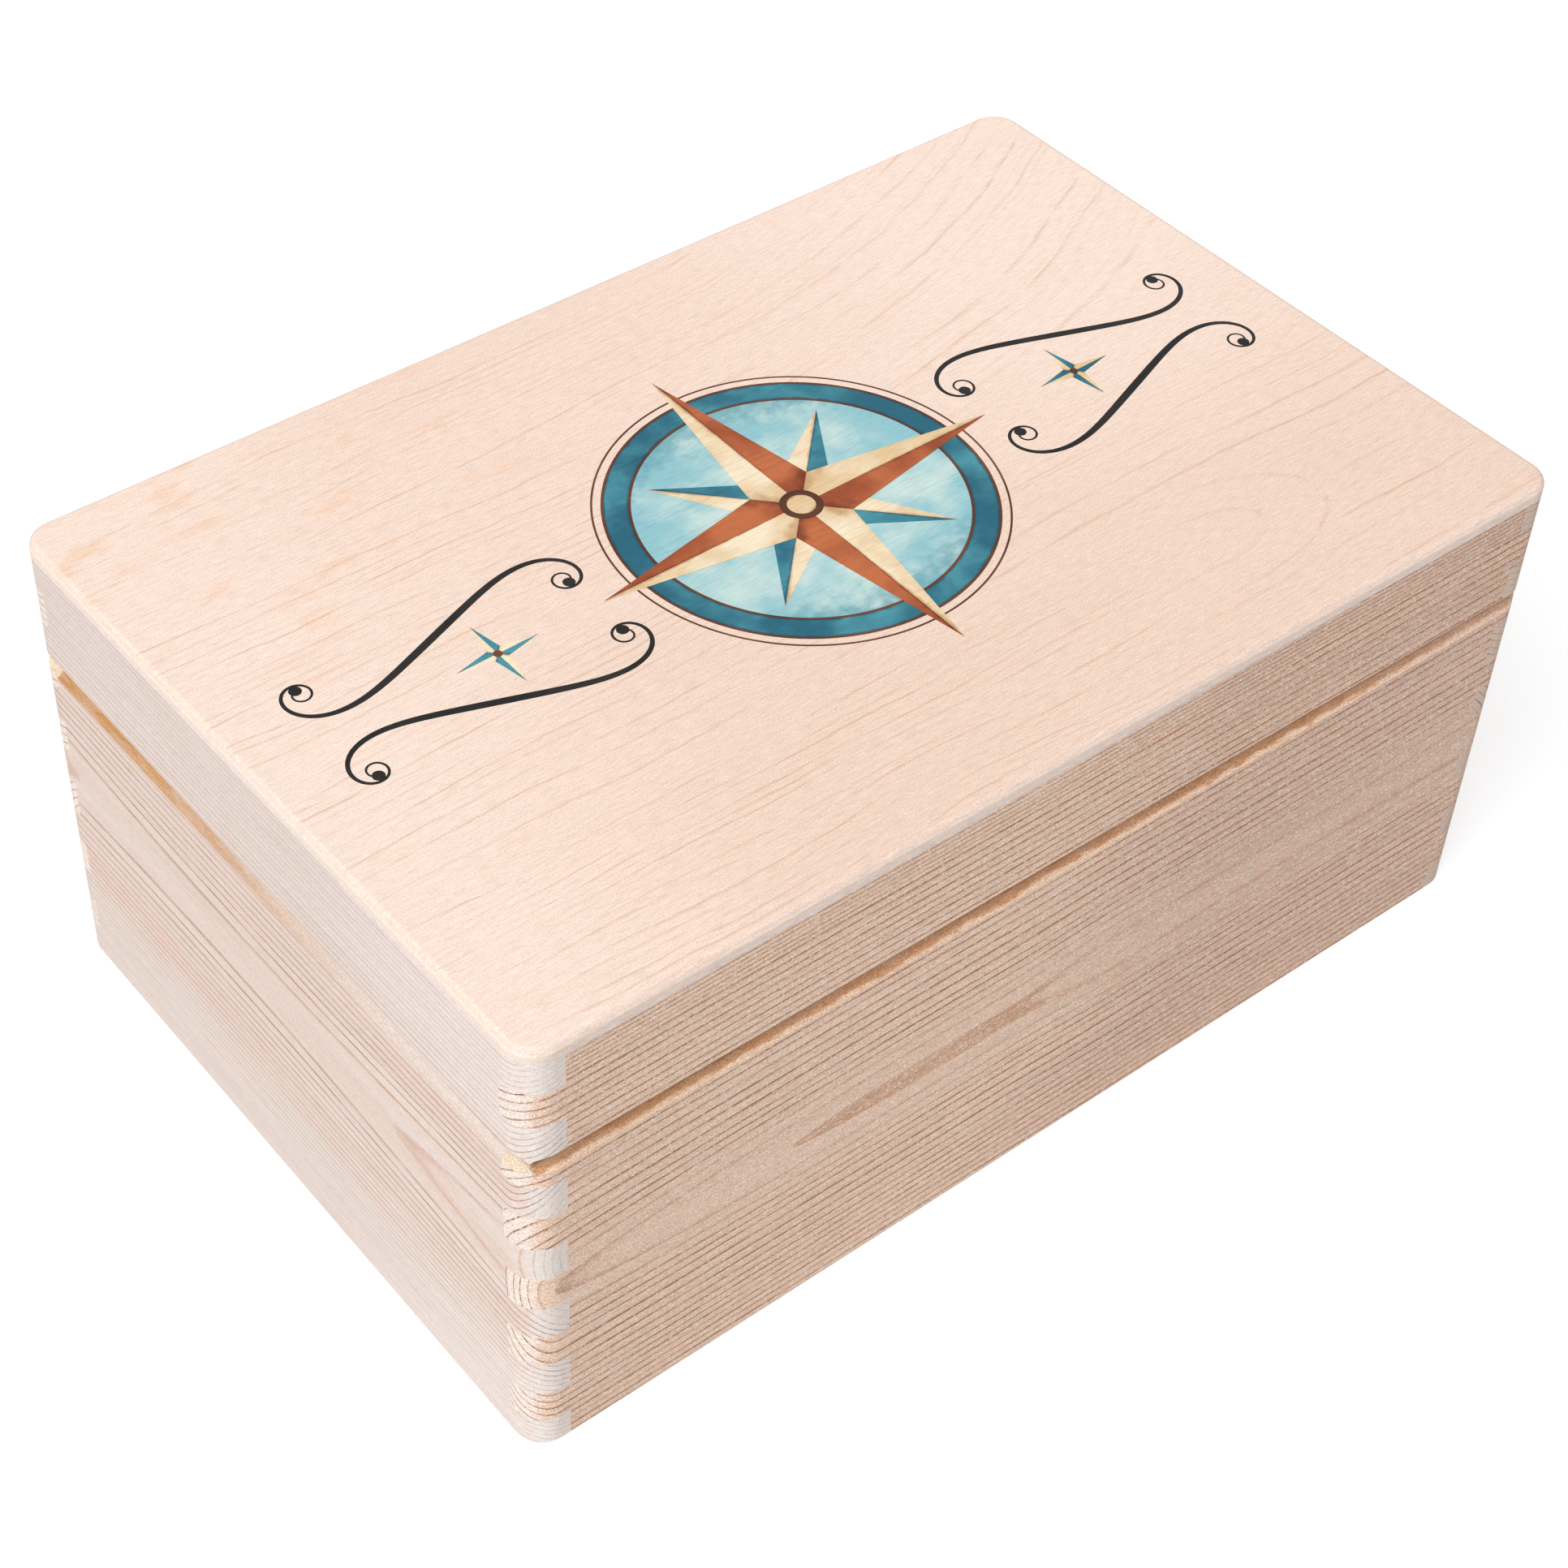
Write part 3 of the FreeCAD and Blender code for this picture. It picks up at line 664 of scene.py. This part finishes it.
def brass(name, dull):
    """Brushed brass: fine scratches along the barrel and a cloudy tarnish that makes it rougher. Dull is how
    rough it is to start with."""
    cloud_step, cloud_share, scratch_share = (-0.2, 0.2), 0.12, 0.3
    material, tree, shader = new_material(name)
    place = in_millimetres(tree, node(tree, "TexCoord", {}).outputs["Object"])
    cloud = ramp(tree, noise(tree, place, (4.0, 3.0, 3.0), 3.0), *cloud_step)
    scratch = noise(tree, place, (6.0, 0.12, 0.12), 2.0)
    tree.links.new(mix(tree, cloud, bright_brass, dull_brass), shader.inputs["Base Color"])
    shader.inputs["Metallic"].default_value = 1.0
    rough = calc(tree, "MULTIPLY_ADD", scratch, scratch_share, dull)
    rough = calc(tree, "MULTIPLY_ADD", cloud, cloud_share, rough)
    tree.links.new(rough, shader.inputs["Roughness"])
    raise_marks(tree, shader, scratch, strength=0.2, depth=0.02)
    return material


hinge_brass = brass("hinge_brass_brushed", dull=0.28)
screw_brass = brass("screw_brass_turned", dull=0.34)
for side in ("left", "right"):
    dress(hinge_brass, *(f"{side}_hinge_{part}" for part in ("base_leaf", "lid_leaf", "pin")))
    dress(screw_brass, *(f"{side}_hinge_{part}" for part in ("base_screws", "lid_screws")))

# The stage: white paper that runs out of view, a soft warm sky, a wide sun up to the left that leaves the
# front in open shade, and a small warm lamp before it. The camera stands above the near left corner.

floor_reach = 6.0
white = (1.0, 1.0, 1.0, 1.0)
paper_lit, paper_seen, paper_glow = (0.5, 0.5, 0.5, 1.0), (0.34, 0.34, 0.34, 1.0), 0.7
sky_warm, sky_strength = (1.0, 0.94, 0.9, 1.0), 0.44


def straight_or_mirrored(tree):
    """1 for rays that show a surface to the camera, straight, mirrored or through glass, and 0 for the rest."""
    rays = node(tree, "LightPath", {}).outputs
    mirrored = calc(tree, "MAXIMUM", rays["Is Glossy Ray"], rays["Is Transmission Ray"])
    return calc(tree, "MAXIMUM", rays["Is Camera Ray"], mirrored)


floor_mesh = bpy.data.meshes.new("floor")
floor_corners = [(x * floor_reach, y * floor_reach, 0) for x, y in ((-1, -1), (1, -1), (1, 1), (-1, 1))]
floor_mesh.from_pydata(floor_corners, [], [(0, 1, 2, 3)])
floor = add_object("floor", floor_mesh)
paper, tree, shader = new_material("white_paper")
seen = straight_or_mirrored(tree)
tree.links.new(mix(tree, seen, paper_lit, paper_seen), shader.inputs["Base Color"])
shader.inputs["Roughness"].default_value = 1.0
shader.inputs["Specular IOR Level"].default_value = 0.0
shader.inputs["Emission Color"].default_value = white
tree.links.new(calc(tree, "MULTIPLY", seen, paper_glow), shader.inputs["Emission Strength"])
floor_mesh.materials.append(paper)

sky = bpy.data.worlds.new("sky")
bpy.context.scene.world = sky
sky.use_nodes = True
tree = sky.node_tree
background = tree.nodes["Background"]
seen = straight_or_mirrored(tree)
tree.links.new(mix(tree, seen, sky_warm, white), background.inputs["Color"])
tree.links.new(ramp(tree, seen, 0.0, 1.0, sky_strength, 1.0), background.inputs["Strength"])

sun_turn, sun_height = radians(20), radians(51)
towards_sun = Vector((-cos(sun_turn) * cos(sun_height), -sin(sun_turn) * cos(sun_height), sin(sun_height)))
sun_data = bpy.data.lights.new("key", "SUN")
sun_data.energy = 0.85 * pi
sun_data.color = (0.97, 1.0, 1.03)
sun_data.angle = radians(35)
sun = add_object("key", sun_data)
sun.rotation_euler = towards_sun.to_track_quat("Z", "Y").to_euler()

lamp_place, lamp_target = Vector((-0.55, -0.75, 0.45)), Vector((-0.1, 0, 0.06))
lamp_data = bpy.data.lights.new("fill", "AREA")
lamp_data.energy = 0.55
lamp_data.color = (1.0, 0.95, 0.9)
lamp_data.shape = "DISK"
lamp_data.size = 0.4
lamp = add_object("fill", lamp_data)
lamp.location = lamp_place
lamp.rotation_euler = (lamp_target - lamp_place).to_track_quat("-Z", "Y").to_euler()

camera_data = bpy.data.cameras.new("camera")
camera_data.lens = 70.218
camera_data.sensor_width = 36.0
camera_data.shift_x = 0.05741
camera_data.shift_y = 0.01729
camera = add_object("camera", camera_data)
camera.location = (-0.36497, -0.41282, 0.58513)
camera.rotation_euler = (radians(44.9041), radians(-1.1706), radians(-37.9343))
bpy.context.scene.camera = camera
bpy.context.scene.view_settings.view_transform = "Standard"
